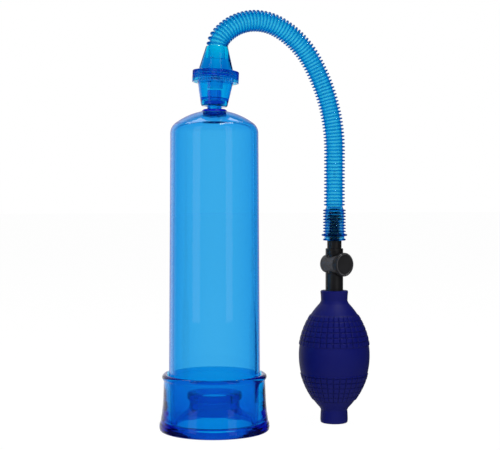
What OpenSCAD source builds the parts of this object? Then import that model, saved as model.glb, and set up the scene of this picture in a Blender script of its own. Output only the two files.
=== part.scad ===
// Hand vacuum pump: a clear domed cylinder in a soft entry sleeve, joined by a
// push-on coupling and a ribbed hose to a release valve and a squeeze bulb.
// Millimetres. The origin is the centre of the sleeve's foot, on the ground.
// +Z is up along the cylinder and +X points at the bulb.

/* [Cylinder] */
// Outside diameter of the clear cylinder at its open end
tube_d = 64.8; // [63:0.2:66]
// Outside diameter of the clear cylinder where the dome starts
tube_top_d = 62.6; // [61.5:0.1:63]
// Wall thickness of the clear cylinder
tube_wall = 2.5; // [2:0.1:3]
// Height of the shoulder where the dome starts
shoulder_z = 211.8; // [190:0.2:213]
// Radius of the dome's rounded shoulder
knuckle_r = 9; // [8:0.5:10]
// Radius of the dome's shallow crown
crown_r = 44; // [43:0.5:46]
// Diameter of the hose nozzle on the dome
nozzle_d = 10.2; // [9.6:0.2:10.6]
// Length of the nozzle above its gasket
nozzle_len = 13.5; // [12:0.5:14]
// Diameter of the gasket under the nozzle
gasket_d = 18; // [16:0.5:19]
// Height of the gasket's upper face
gasket_top_z = 228.4; // [228:0.1:228.8]

/* [Sleeve] */
// Diameter of the sleeve's foot
foot_d = 78.8; // [78:0.2:80]
// Height of the ledge that carries the cylinder
ledge_z = 6; // [5:0.5:7]
// Height of the rolled bead's centre
bead_z = 38; // [34:0.5:40]
// Radius of the rolled bead
bead_r = 2.3; // [2:0.1:2.6]
// Diameter of the soft entry opening
opening_d = 24; // [22:0.5:26]
// Outside diameter of the soft tunnel round the opening
tunnel_d = 38; // [36:0.2:39]
// Height of the tunnel's rim
tunnel_top_z = 27; // [24:0.5:28]

/* [Coupling] */
// Lean of the coupling towards the bulb, in degrees
coupling_lean = 3; // [0:0.5:3]
// Height of the seal inside the socket
seal_z = 233.2; // [233:0.1:233.4]
// Diameter of the knurled collar
collar_d = 32.2; // [31:0.2:34]
// Height of the collar's lower edge
collar_z = 247.2; // [247:0.1:247.5]
// Number of grip notches round the collar
collar_notches = 24; // [16:1:30]
// Height of the top of the cone that holds the hose
nose_top_z = 273; // [272:0.5:274]

/* [Hose] */
// Outside diameter over the ribs
rib_d = 15.5; // [14.8:0.1:15.8]
// Outside diameter between the ribs
core_d = 12; // [11.6:0.1:12.2]
// Inside diameter of the hose
hose_bore_d = 8.8; // [8.4:0.1:9.2]
// Distance from one rib to the next
rib_pitch = 2.5; // [2.2:0.1:3.5]
// Distance from the cylinder's axis to the bulb's axis
reach = 91.4; // [88:0.1:98]
// Height of the hose's lower end
cuff_z = 134.2; // [133.8:0.2:134.8]

/* [Valve] */
// Diameter of the valve's upright body
valve_d = 13; // [12:0.1:13.2]
// Diameter of the cross barrel
barrel_d = 13.8; // [13.4:0.1:14.2]
// Height of the cross barrel's axis
barrel_z = 116.8; // [114:0.2:118]
// Turn of the cross barrel away from -Y towards +X, in degrees
barrel_turn = 20; // [0:5:45]
// Diameter of the release button
button_d = 17.4; // [16.8:0.1:18]
// Travel of the release button
button_travel = 2; // [1.5:0.1:2]
// Diameter of the air channel
channel_d = 4; // [3:0.2:4.4]

/* [Bulb] */
// Height of the squeeze bulb
bulb_h = 97.4; // [97:0.2:99]
// Largest diameter of the bulb
bulb_d = 53.2; // [51:0.2:56]
// Height of the widest place
belly_z = 49.6; // [48:0.2:51]
// Radius of the belly's curve from end to end
belly_r = 55.4; // [54:0.2:57]
// Wall thickness of the bulb
bulb_wall = 2.6; // [2:0.1:3]
// Width of the part of the wall that a thumb presses in
press_w = 30; // [24:1:36]
// Height of the part of the wall that a thumb presses in
press_h = 38; // [30:1:42]

/* [Hidden] */
$fn = 96;

// Colours
clear_blue = [0.20, 0.65, 0.92, 0.5];
deep_blue = [0.0, 0.42, 0.85, 0.6];
hose_blue = [0.0, 0.5, 0.86, 0.7];
seal_blue = [0.0, 0.08, 0.6];
navy = [0.08, 0.08, 0.42];
black = [0.09, 0.09, 0.1];
steel = [0.7, 0.7, 0.72];

// Running gap on the radius between parts that turn or slide on each other
gap = 0.05;

// Cylinder: the crown's centre lies where the crown is tangent to the knuckle
tube_r = tube_d / 2;
top_r = tube_top_d / 2;
crown_tilt = acos((top_r - knuckle_r) / (crown_r - knuckle_r));
crown_z = shoulder_z - (crown_r - knuckle_r) * sin(crown_tilt);
land_r = gasket_d / 2 + 0.3;
dome_top_z = crown_z + sqrt(crown_r * crown_r - land_r * land_r);
land_z = dome_top_z - 2.2;
nozzle_r = nozzle_d / 2;
nozzle_shank_r = 4.1;
nozzle_bore_r = 2.2;

// Coupling, measured along its own axis
neck_r = 13;
nose_r = 12.1;
collar_h = 8.2;
collar_lip = 2;
collar_crown = 1.1;
skirt_h = 2.8;
skirt_wall = 1.1;
neck_top_z = collar_z + 4.4;
nose_flange_z = neck_top_z + 0.8;
collar_lip_z = collar_z + collar_h - collar_lip;
socket_bore_r = 5.65;
socket_seal_h = 3.6;
seal_r = 1.3;
hose_seat_depth = 9.5;

// Hose: each bend is [radius, heading at its start, heading at its end].
// A heading is the lean from +Z towards +X, so the hose leaves the cone nearly
// upright, is level at 90 degrees and hangs straight down at 180.
bends_before_drop = [
    [12, coupling_lean, 39],
    [34, 39, 80],
    [36.8, 80, 90],
    [36.8, 90, 118],
    [63, 118, 149]
];
upper_bends = 3;
hose_root = [nose_top_z * sin(coupling_lean) - seal_z * sin(coupling_lean),
             seal_z + (nose_top_z - seal_z) * cos(coupling_lean)];
function bend_end(list, i) = i < 0 ? hose_root :
    let (from = bend_end(list, i - 1), b = list[i])
    [from[0] + b[0] * (cos(b[1]) - cos(b[2])), from[1] + b[0] * (sin(b[2]) - sin(b[1]))];
drop_start = bend_end(bends_before_drop, len(bends_before_drop) - 1);
drop_heading = bends_before_drop[len(bends_before_drop) - 1][2];
drop_r = (reach - drop_start[0]) / (cos(drop_heading) + 1);
bends = concat(bends_before_drop, [[drop_r, drop_heading, 180]]);
drop_end_z = bend_end(bends, len(bends) - 1)[1];
function bend_length(i) = i < 0 ? 0 :
    bend_length(i - 1) + bends[i][0] * (bends[i][2] - bends[i][1]) * PI / 180;
hose_sides = 20;
cuff_h = 25;
cuff_rib_pitch = 2.1;
arch_length = bend_length(upper_bends - 1);
hose_length = bend_length(len(bends) - 1) + drop_end_z - cuff_z - cuff_h;
barb_r = 6.3;
barb_tip_z = cuff_z + 21.8;

// Valve
valve_r = valve_d / 2;
spigot_z = 84;
body_top_z = cuff_z - 5.8;
barrel_front = 8.4;
barrel_back = -8.2;
seat_back = 2.4;
seat_front = 4.2;
chamber_r = 4;
seat_hole_r = 2;
plunger_r = 1.3;
poppet_r = 3.2;
button_back = barrel_front + 0.2;
button_face = button_back + button_travel;
button_front = button_face + 1.4;

// Bulb
belly_offset = bulb_d / 2 - belly_r;
bulb_neck_r = 10.1;
outlet_bore_r = 7.5;
floor_z = 12;
lift = 1.2;
disc_r = 4.3;
disc_h = 0.9;

// Points along a circular arc, from one angle to another
function arc(centre, r, from, to, steps) =
    [for (i = [0:steps]) let (a = from + (to - from) * i / steps)
        [centre[0] + r * cos(a), centre[1] + r * sin(a)]];

// Angle on an arc about a centre at height z0 where the arc reaches height z
function rise(r, z0, z) = asin((z - z0) / r);

// ---------- placing ----------

// Leans its children about the seal, as the whole coupling leans
module on_coupling() {
    translate([0, 0, seal_z]) rotate([0, coupling_lean, 0]) translate([0, 0, -seal_z]) children();
}

module on_bulb() {
    translate([reach, 0, 0]) children();
}

// Local +Z points out through the release button
module on_barrel() {
    translate([reach, 0, barrel_z]) rotate([90, 0, barrel_turn]) children();
}

module tube(r_out, r_in, z0, z1) {
    translate([0, 0, z0]) rotate_extrude() translate([r_in, 0]) square([r_out - r_in, z1 - z0]);
}

// ---------- sleeve ----------

module entry_sleeve() {
    foot_r = foot_d / 2;
    bore_r = tube_r + gap;
    wall_r = foot_r - 3;
    bead_centre = [foot_r - 2 - bead_r, bead_z];
    tunnel_r = tunnel_d / 2;
    opening_r = opening_d / 2;
    skin = 2.6;
    outside = concat(
        [[foot_r - 8.7, 0], [foot_r - 1.6, 0]],
        arc([foot_r - 1.6, 1.6], 1.6, -90, 0, 4),
        [[foot_r, 3.2], [foot_r - 0.55, 7], [foot_r - 1.7, 13], [foot_r - 2.4, 18],
         [foot_r - 2.7, 22.5], [wall_r, bead_z - 5]],
        arc(bead_centre, bead_r, -60, 180, 14));
    tube_seat = [[bore_r, bead_z - 1.2], [bore_r, ledge_z], [tube_r - tube_wall - 0.6, ledge_z]];
    rim_r = 2;
    waist_r = tunnel_r - 1.2;
    membrane_top = [[27, ledge_z + 1.8], [tunnel_r + 0.9, ledge_z + 6.3], [waist_r, ledge_z + 8],
                    [waist_r, tunnel_top_z - 5]];
    rim = concat(
        arc([tunnel_r - rim_r, tunnel_top_z - rim_r], rim_r, -40, 90, 6),
        arc([opening_r + rim_r, tunnel_top_z - rim_r], rim_r, 90, 180, 5));
    opening = [[opening_r, tunnel_top_z - 3.5], [opening_r, 12]];
    underside = [[opening_r + 1.6, 10.4], [tunnel_r - 0.4, ledge_z + 6.3 - skin],
                 [26.4, ledge_z + 1.6 - skin], [28, 3.2]];
    color(deep_blue)
        rotate_extrude()
            polygon(concat(outside, tube_seat, membrane_top, rim, opening, underside));
}

// ---------- cylinder ----------

// Half outline of the domed tube, drawn in from the outside by `inset`. It runs
// straight up through the sleeve, narrows a little to the shoulder, and ends on
// the crown at radius `end_r`.
function dome_outline(inset, bottom_z, end_r) = concat(
    [[tube_r - inset, bottom_z], [tube_r - inset, bead_z + 3]],
    arc([top_r - knuckle_r, shoulder_z], knuckle_r - inset, 0, crown_tilt, 8),
    arc([0, crown_z], crown_r - inset, crown_tilt, acos(end_r / (crown_r - inset)), 8));

module cylinder_tube() {
    edge = 0.5;
    boss_r = land_r + 2.4;
    outer = dome_outline(0, ledge_z + edge, land_r);
    inner = dome_outline(tube_wall, ledge_z, boss_r);
    hole_r = nozzle_shank_r + gap;
    color(clear_blue)
        rotate_extrude()
            polygon(concat(
                [[tube_r - edge, ledge_z]], outer,
                [[land_r, land_z], [hole_r, land_z], [hole_r, land_z - tube_wall],
                 [boss_r, land_z - tube_wall]],
                [for (i = [len(inner) - 1:-1:0]) inner[i]]));
}

module nozzle_gasket() {
    color(seal_blue) tube(gasket_d / 2, nozzle_shank_r + gap, land_z, gasket_top_z);
}

module nozzle() {
    tip_z = gasket_top_z + nozzle_len;
    color(deep_blue)
        rotate_extrude()
            polygon([[nozzle_bore_r, land_z - tube_wall], [nozzle_shank_r, land_z - tube_wall],
                     [nozzle_shank_r, gasket_top_z], [nozzle_r, gasket_top_z],
                     [nozzle_r, tip_z - 1], [nozzle_r - 1, tip_z], [nozzle_bore_r, tip_z]]);
}

// ---------- coupling ----------

module coupling_oring() {
    color(seal_blue)
        translate([0, 0, seal_z])
            rotate_extrude()
                translate([nozzle_r + gap + seal_r, 0]) circle(r = seal_r, $fn = 32);
}

module coupling_socket() {
    bottom_z = seal_z - 3.4;
    groove_r = nozzle_r + 2 * seal_r + 0.25;
    groove_z = seal_z - socket_seal_h / 2;
    cup_floor_z = groove_z + socket_seal_h + 1.4;
    cup_wall = 2.4;
    color(deep_blue)
        on_coupling()
            rotate_extrude()
                polygon([[socket_bore_r, bottom_z], [8.8, bottom_z], [9.4, bottom_z + 0.7],
                         [12.5, collar_z - 0.6], [neck_r, collar_z - 0.2], [neck_r, neck_top_z],
                         [neck_r - cup_wall, neck_top_z], [7.6, cup_floor_z],
                         [socket_bore_r, cup_floor_z], [socket_bore_r, groove_z + socket_seal_h],
                         [groove_r, groove_z + socket_seal_h], [groove_r, groove_z],
                         [socket_bore_r, groove_z]]);
}

module coupling_collar() {
    outer_r = collar_d / 2;
    notch_r = 1.1;
    skirt_r = outer_r - skirt_wall;
    color(deep_blue)
        on_coupling()
            difference() {
                rotate_extrude()
                    polygon([[neck_r + gap, collar_z + skirt_h], [skirt_r, collar_z + skirt_h],
                             [skirt_r, collar_z], [outer_r, collar_z],
                             [outer_r, collar_z + collar_h - 0.5],
                             [outer_r - 0.5, collar_z + collar_h],
                             [nose_r + gap, collar_z + collar_h + collar_crown],
                             [nose_r + gap, collar_lip_z], [neck_r + gap, collar_lip_z]]);
                for (i = [0:collar_notches - 1])
                    rotate([0, 0, i * 360 / collar_notches])
                        translate([outer_r + 0.5, 0, collar_z - 1])
                            cylinder(h = collar_h + 2, r = notch_r, $fn = 24);
            }
}

module nose_gasket() {
    color(seal_blue) on_coupling() tube(neck_r - 0.4, neck_r - 2.2, neck_top_z, nose_flange_z);
}

module hose_nose() {
    spigot_r = socket_bore_r - 0.25;
    seat_r = core_d / 2 + gap;
    color(deep_blue)
        on_coupling()
            rotate_extrude()
                polygon([[3.5, collar_z - 4], [spigot_r, collar_z - 4], [spigot_r, nose_flange_z],
                         [neck_r, nose_flange_z], [neck_r, collar_lip_z - gap],
                         [nose_r, collar_lip_z - gap], [nose_r, collar_z + collar_h + collar_crown + 0.5],
                         [rib_d / 2, nose_top_z], [seat_r, nose_top_z],
                         [seat_r, nose_top_z - hose_seat_depth], [3.5, nose_top_z - hose_seat_depth]]);
}

// ---------- hose ----------

// Place and heading at distance s along the hose. Distances count from the top
// of the cone, and are negative for the plain end inside it.
function hose_at(s, i = 0) =
    s < 0 ? [hose_root[0] + s * sin(coupling_lean), hose_root[1] + s * cos(coupling_lean),
             coupling_lean] :
    i == len(bends) ? [reach, drop_end_z - s, 180] :
    let (b = bends[i], turn = b[2] - b[1], length = b[0] * turn * PI / 180)
    s > length ? hose_at(s - length, i + 1) :
    let (from = bend_end(bends, i - 1), h = b[1] + s / b[0] * 180 / PI)
    [from[0] + b[0] * (cos(b[1]) - cos(h)), from[1] + b[0] * (sin(h) - sin(b[1])), h];

// Circle of points across the hose at distance s
function hose_ring(s, r) = let (at = hose_at(s))
    [for (k = [0:hose_sides - 1]) let (a = k * 360 / hose_sides)
        [at[0] + r * cos(a) * cos(at[2]), r * sin(a), at[1] - r * cos(a) * sin(at[2])]];

// Ribbed pipe between two distances along the hose, with a plain end of length
// `plain` before it: rings of points run up the outside, over each rib, and back
// down the bore
module ribbed_pipe(from, to, plain = 0) {
    ribs = floor((to - from) / rib_pitch);
    step = (to - from) / ribs;
    start = from - plain;
    bore_steps = ceil((to - start) / 6);
    outside = [for (k = [0:ribs - 1]) let (s = from + k * step)
        each [[s, core_d / 2], [s + step / 2, rib_d / 2]]];
    bore = [for (k = [bore_steps:-1:0]) [start + k * (to - start) / bore_steps, hose_bore_d / 2]];
    plain_end = plain > 0 ? [[start, core_d / 2]] : [];
    rings = concat(plain_end, outside, [[to, core_d / 2]], bore);
    points = [for (ring = rings) each hose_ring(ring[0], ring[1])];
    count = len(rings);
    skin = [for (i = [0:count - 1]) for (k = [0:hose_sides - 1])
        let (i2 = (i + 1) % count, k2 = (k + 1) % hose_sides)
        [i * hose_sides + k, i * hose_sides + k2, i2 * hose_sides + k2, i2 * hose_sides + k]];
    polyhedron(points, skin);
}

module hose_upper() {
    color(hose_blue) ribbed_pipe(0, arch_length, hose_seat_depth - gap);
}

module hose_lower() {
    color(hose_blue) ribbed_pipe(arch_length + gap, hose_length - gap);
}

// Outline points of ribs stacked upwards from z0, with the ribs at radius `tip`
function rib_stack(z0, count, pitch, width, root, tip) =
    [for (k = [0:count - 1]) let (z = z0 + k * pitch)
        each [[root, z], [tip, z + 0.2], [tip, z + width - 0.2], [root, z + width]]];

module hose_cuff() {
    rim_r = 8.4;
    root_r = 7.3;
    ribs = floor((cuff_h - 8) / cuff_rib_pitch);
    color(hose_blue)
        on_bulb()
            rotate_extrude()
                polygon(concat(
                    [[barb_r + gap, cuff_z], [rim_r - 0.5, cuff_z], [rim_r, cuff_z + 0.5],
                     [rim_r, cuff_z + 2.6]],
                    rib_stack(cuff_z + 2.8, 1, 2.4, 2.4, 8, 9.5),
                    rib_stack(cuff_z + 6, ribs, cuff_rib_pitch, 1.2, root_r, rim_r),
                    [[root_r, cuff_z + cuff_h - 1.4], [core_d / 2, cuff_z + cuff_h],
                     [hose_bore_d / 2, cuff_z + cuff_h], [barb_r + gap, cuff_z + 19]]));
}

// ---------- valve ----------

module valve_body() {
    channel_r = channel_d / 2;
    shaft_r = 3.6;
    waist_r = 4.6;
    waist_low_z = barrel_z - barrel_d / 2 + 0.4;
    waist_high_z = barrel_z + barrel_d / 2 - 0.4;
    color(black)
        difference() {
            union() {
                on_bulb()
                    rotate_extrude()
                        polygon([[0, spigot_z], [valve_r - 0.5, spigot_z], [valve_r, spigot_z + 1],
                                 [valve_r, waist_low_z], [waist_r, waist_low_z],
                                 [waist_r, waist_high_z], [valve_r, waist_high_z],
                                 [valve_r, body_top_z - 0.6], [valve_r - 0.6, body_top_z],
                                 [5.3, body_top_z], [5.3, cuff_z - 0.1], [shaft_r, cuff_z - 0.1],
                                 [shaft_r, cuff_z + 2], [barb_r, cuff_z + 2.6],
                                 [barb_r, cuff_z + 3.6], [shaft_r, cuff_z + 7.5],
                                 [shaft_r, cuff_z + 13.5], [barb_r, cuff_z + 14.1],
                                 [barb_r, cuff_z + 15.1], [4.4, barb_tip_z - 2],
                                 [4.2, barb_tip_z], [0, barb_tip_z]]);
                on_barrel()
                    translate([0, 0, barrel_back])
                        cylinder(h = barrel_front - barrel_back, d = barrel_d);
            }
            on_bulb()
                translate([0, 0, spigot_z - 1])
                    cylinder(h = barb_tip_z - spigot_z + 2, r = channel_r);
            on_barrel() {
                translate([0, 0, barrel_back - 1])
                    cylinder(h = seat_back - barrel_back + 1, r = chamber_r);
                translate([0, 0, seat_back - 1])
                    cylinder(h = barrel_front - seat_back + 2, r = seat_hole_r);
                translate([0, 0, seat_front])
                    cylinder(h = barrel_front - seat_front + 1, r = chamber_r);
            }
        }
}

module valve_end_cap() {
    plug_r = chamber_r - gap;
    color(black)
        on_barrel()
            rotate_extrude()
                polygon(concat(
                    [[0, barrel_back + 2.2], [0, barrel_back - 1.6]],
                    arc([barrel_d / 2 - 1.8, barrel_back], 1.6, -90, 0, 5),
                    [[plug_r, barrel_back], [plug_r, barrel_back + 2.2]]));
}

module release_button() {
    r = button_d / 2;
    boss_r = 2.4;
    color(black)
        on_barrel()
            rotate_extrude()
                polygon([[0, button_front - 0.3], [r - 1.6, button_front - 0.3],
                         [r - 1.3, button_front], [r - 0.6, button_front], [r, button_front - 0.6],
                         [r, button_back], [barrel_d / 2 + 0.2, button_back],
                         [barrel_d / 2 + 0.2, button_face], [boss_r, button_face],
                         [boss_r, button_face - 1.2], [plunger_r + gap, button_face - 1.2],
                         [plunger_r + gap, button_face + 0.6], [0, button_face + 0.6]]);
}

module release_plunger() {
    poppet_z = seat_back - 0.8;
    color(black)
        on_barrel()
            rotate_extrude()
                polygon([[0, button_face + 0.55], [plunger_r, button_face + 0.55],
                         [plunger_r, poppet_z], [poppet_r, poppet_z], [poppet_r, poppet_z - 1.1],
                         [0, poppet_z - 1.1]]);
}

module plunger_seal() {
    color(seal_blue)
        on_barrel()
            tube(poppet_r - 0.2, plunger_r + gap, seat_back - 0.8, seat_back - 0.02);
}

// Coil spring: a round wire swept along a helix, closed at both ends
module button_spring() {
    wire_r = 0.3;
    coil_r = 3.2;
    turns = 5;
    steps = 24;
    sides = 8;
    low = seat_front + wire_r + 0.05;
    high = button_face - wire_r - 0.05;
    count = turns * steps;
    points = [for (i = [0:count]) let (a = i * 360 / steps, z = low + (high - low) * i / count)
        for (s = [0:sides - 1]) let (b = s * 360 / sides)
            [(coil_r + wire_r * cos(b)) * cos(a), (coil_r + wire_r * cos(b)) * sin(a),
             z + wire_r * sin(b)]];
    skin = [for (i = [0:count - 1]) for (s = [0:sides - 1]) let (t = (s + 1) % sides)
        [i * sides + s, (i + 1) * sides + s, (i + 1) * sides + t, i * sides + t]];
    start_cap = [[for (s = [0:sides - 1]) s]];
    end_cap = [[for (s = [sides - 1:-1:0]) count * sides + s]];
    color(steel) on_barrel() polyhedron(points, concat(start_cap, end_cap, skin));
}

// Ring of small air holes
module air_holes(z, h, ring_r, hole_r) {
    for (a = [45:90:315])
        rotate([0, 0, a]) translate([ring_r, 0, z]) cylinder(h = h, r = hole_r, $fn = 24);
}

// Cup with a pierced floor and a post that stops the flap disc
module valve_cage(outer_r, inner_r, floor_low, floor_high, top_z, post_top) {
    post_r = 1.2;
    difference() {
        rotate_extrude()
            polygon([[0, floor_low], [outer_r, floor_low], [outer_r, top_z], [inner_r, top_z],
                     [inner_r, floor_high], [post_r, floor_high], [post_r, post_top],
                     [0, post_top]]);
        air_holes(floor_low - 1, floor_high - floor_low + 2, 3, 0.9);
    }
}

module flap_disc(top_z) {
    on_bulb() translate([0, 0, top_z - disc_h]) cylinder(h = disc_h, r = disc_r);
}

module inlet_valve_cage() {
    color(black)
        on_bulb()
            valve_cage(6, 4.9, spigot_z - 7, spigot_z - 5.8, spigot_z,
                       spigot_z - disc_h - lift - 0.2);
}

module inlet_valve_disc() {
    color(seal_blue) flap_disc(spigot_z - gap);
}

module outlet_valve_housing() {
    seat_z = 9.5;
    color(black)
        on_bulb()
            rotate_extrude()
                polygon([[channel_d / 2, seat_z], [channel_d / 2, seat_z + 1.6],
                         [outlet_bore_r - gap, seat_z + 1.6], [outlet_bore_r - gap, 0.6],
                         [5.6, 0.6], [5.6, seat_z]]);
}

module outlet_valve_disc() {
    color(seal_blue) flap_disc(9.5 - gap);
}

module outlet_valve_cap() {
    color(black)
        on_bulb() valve_cage(5.6 - gap, 4.6, 0.6, 1.8, 7, 9.5 - disc_h - lift - 0.2);
}

// ---------- bulb ----------

// Whole bulb wall, as one turned shell
module bulb_shell() {
    centre = [belly_offset, belly_z];
    inner_r = belly_r - bulb_wall;
    low_z = belly_z - sqrt(belly_r * belly_r - (bulb_neck_r - belly_offset) ^ 2);
    high_z = 2 * belly_z - low_z;
    bore_r = valve_r + gap;
    on_bulb()
        rotate_extrude()
            polygon(concat(
                [[outlet_bore_r, 0], [bulb_neck_r - 0.8, 0], [bulb_neck_r, 0.8],
                 [bulb_neck_r, 5.5], [bulb_neck_r - 0.4, low_z - 0.8]],
                arc(centre, belly_r, rise(belly_r, belly_z, low_z),
                    rise(belly_r, belly_z, high_z), 16),
                [[9.7, high_z + 1], [bulb_neck_r + 0.1, bulb_h - 1], [9.7, bulb_h], [bore_r, bulb_h],
                 [bore_r, spigot_z]],
                arc(centre, inner_r, rise(inner_r, belly_z, spigot_z),
                    rise(inner_r, belly_z, floor_z), 16),
                [[outlet_bore_r, floor_z]]));
}

// Block through the front wall of the bulb
module press_block(w, h) {
    translate([reach - w / 2, -bulb_d, belly_z - h / 2]) cube([w, bulb_d - 8, h]);
}

module bulb() {
    color(navy)
        difference() {
            bulb_shell();
            press_block(press_w + 2 * gap, press_h + 2 * gap);
        }
}

module bulb_press_wall() {
    color(navy)
        intersection() {
            bulb_shell();
            press_block(press_w, press_h);
        }
}

entry_sleeve();
cylinder_tube();
nozzle_gasket();
nozzle();
coupling_oring();
coupling_socket();
coupling_collar();
nose_gasket();
hose_nose();
hose_upper();
hose_lower();
hose_cuff();
valve_body();
valve_end_cap();
release_button();
release_plunger();
plunger_seal();
button_spring();
inlet_valve_cage();
inlet_valve_disc();
bulb();
bulb_press_wall();
outlet_valve_housing();
outlet_valve_disc();
outlet_valve_cap();
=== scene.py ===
"""The looks of a hand vacuum pump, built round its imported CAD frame.

Lengths in this script are millimetres. MM turns them into Blender's metres.
"""
import math

import bpy
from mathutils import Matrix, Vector, noise


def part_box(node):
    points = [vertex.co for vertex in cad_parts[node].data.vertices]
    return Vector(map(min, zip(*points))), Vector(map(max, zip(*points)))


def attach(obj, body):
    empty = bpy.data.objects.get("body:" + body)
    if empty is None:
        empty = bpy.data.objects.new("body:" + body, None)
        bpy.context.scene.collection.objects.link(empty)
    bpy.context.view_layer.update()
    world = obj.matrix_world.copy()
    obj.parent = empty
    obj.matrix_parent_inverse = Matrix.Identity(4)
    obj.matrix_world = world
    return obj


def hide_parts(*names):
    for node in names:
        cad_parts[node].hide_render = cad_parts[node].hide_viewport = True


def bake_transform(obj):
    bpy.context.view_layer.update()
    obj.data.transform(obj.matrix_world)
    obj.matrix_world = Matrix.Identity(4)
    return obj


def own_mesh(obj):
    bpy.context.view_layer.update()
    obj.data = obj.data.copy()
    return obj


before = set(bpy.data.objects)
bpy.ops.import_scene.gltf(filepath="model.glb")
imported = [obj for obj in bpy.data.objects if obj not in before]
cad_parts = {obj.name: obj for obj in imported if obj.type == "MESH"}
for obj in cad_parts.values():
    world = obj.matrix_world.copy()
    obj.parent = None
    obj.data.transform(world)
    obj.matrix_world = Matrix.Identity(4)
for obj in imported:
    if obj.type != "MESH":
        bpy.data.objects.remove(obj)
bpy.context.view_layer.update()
MM = 0.001


# ---------- places and sizes ----------

def node_span(node):
    """A node's lowest and highest corner, in millimetres."""
    low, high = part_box(node)
    return Vector(low) / MM, Vector(high) / MM


tube_low, tube_high = node_span("cylinder_tube")
sleeve_low, sleeve_high = node_span("entry_sleeve")
gasket_low, gasket_high = node_span("nozzle_gasket")
cuff_low, cuff_high = node_span("hose_cuff")
bulb_low, bulb_high = node_span("bulb")
seal_low, seal_high = node_span("coupling_oring")
nozzle_low, nozzle_high = node_span("nozzle")

# Read from the frame
TUBE_R = (tube_high.x - tube_low.x) / 2
FOOT_R = (sleeve_high.x - sleeve_low.x) / 2
LEDGE_Z = tube_low.z
GASKET_R = (gasket_high.x - gasket_low.x) / 2
GASKET_Z = gasket_high.z
NOZZLE_TIP_Z = nozzle_high.z
SEAL_Z = (seal_low.z + seal_high.z) / 2
REACH = (cuff_low.x + cuff_high.x) / 2
CUFF_Z = cuff_low.z
CUFF_TOP_Z = cuff_high.z
BULB_H = bulb_high.z
BULB_R = (bulb_high.x - bulb_low.x) / 2

# Cylinder: radius at the dome, wall, and the hole for the nozzle
TUBE_TOP_R = 31.3
TUBE_WALL = 2.5
NOZZLE_HOLE_R = 4.15

# Coupling: its lean towards the bulb, and its parts before they lean
LEAN = math.radians(3)
COLLAR_Z = 247.2
COLLAR_H = 8.2
THREAD_R = 12.95
NOSE_TOP_Z = 273.0

# Hose, and the depth of its seat in the cone
HOSE_SEAT = 9.5
HOSE_BORE_R = 4.4
HOSE_CORE_R = 6.0
HOSE_RIB_R = 7.75
RIB_PITCH = 2.5

# Valve: height of the cross barrel, its radius, and its turn from straight ahead
BARREL_Z = 116.8
BARREL_R = 6.9
BARREL_TURN = math.radians(20)

# Bulb: the arc of its side, the lowest and highest point of each band of grid, the height that
# the grid stands from its grooves' deepest point, and the part of it that is the cells
BELLY_Z = 49.6
BELLY_R = 55.4
UPPER_GRID = (57.8, 79.6)
LOWER_GRID = (16.9, 36.2)
GRID_H = 0.6
CELL_H = 0.55

# Reflections: the room is dark up to the first, and white from the second, of a direction's Y.
# The third is the light left in its dark part
ROOM_DARK = 0.55
ROOM_WHITE = 1.0
ROOM_DIM = 0.015


# ---------- mesh helpers ----------

def fillet(points, closed, steps=5):
    """Rounds the corners of an outline. Each point is (r, z) or (r, z, corner radius)."""
    count = len(points)
    out = []
    for i, point in enumerate(points):
        here = Vector(point[:2])
        radius = point[2] if len(point) > 2 else 0
        at_end = not closed and i in (0, count - 1)
        if not radius or at_end:
            out.append(here)
            continue
        before = Vector(points[i - 1][:2]) - here
        after = Vector(points[(i + 1) % count][:2]) - here
        half = before.angle(after) / 2
        if half > math.pi / 2 - 0.01:
            out.append(here)
            continue
        setback = min(radius / math.tan(half), 0.48 * before.length, 0.48 * after.length)
        start = here + before.normalized() * setback
        end = here + after.normalized() * setback
        for k in range(steps + 1):
            t = k / steps
            out.append(start * (1 - t) ** 2 + here * (2 * t * (1 - t)) + end * t ** 2)
    return out


def arc(centre, radius, start, end, steps):
    """Points on an arc in the (r, z) plane, from one angle in degrees to another."""
    out = []
    for k in range(steps + 1):
        a = math.radians(start + (end - start) * k / steps)
        out.append((centre[0] + radius * math.cos(a), centre[1] + radius * math.sin(a)))
    return out


def new_object(name, points, faces, material, sharp=40):
    """Makes a smooth-shaded mesh object from points in millimetres."""
    mesh = bpy.data.meshes.new(name)
    mesh.from_pydata([Vector(p) * MM for p in points], [], faces)
    mesh.validate()
    mesh.polygons.foreach_set("use_smooth", [True] * len(mesh.polygons))
    mesh.set_sharp_from_angle(angle=math.radians(sharp))
    mesh.materials.append(material)
    obj = bpy.data.objects.new(name, mesh)
    bpy.context.scene.collection.objects.link(obj)
    return obj


def mark(piece, values):
    """Keeps one number at each point of a mesh, for its material to read."""
    layer = piece.data.attributes.new("mark", "FLOAT", "POINT")
    for i, value in enumerate(values):
        layer.data[i].value = value


def upright(x, y, z):
    """Keeps a turned shape on the cylinder's axis."""
    return Vector((x, y, z))


def on_bulb(x, y, z):
    """Moves a turned shape to the bulb's axis."""
    return Vector((x + REACH, y, z))


def on_coupling(x, y, z):
    """Leans a turned shape about the seal, as the coupling leans."""
    rise = z - SEAL_Z
    return Vector((x * math.cos(LEAN) + rise * math.sin(LEAN), y,
                   SEAL_Z + rise * math.cos(LEAN) - x * math.sin(LEAN)))


def on_barrel(x, y, z):
    """Lays a turned shape along the cross barrel, with +Z out through the button."""
    sin, cos = math.sin(BARREL_TURN), math.cos(BARREL_TURN)
    return Vector((REACH + x * cos + z * sin, x * sin - z * cos, BARREL_Z + y))


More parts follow.
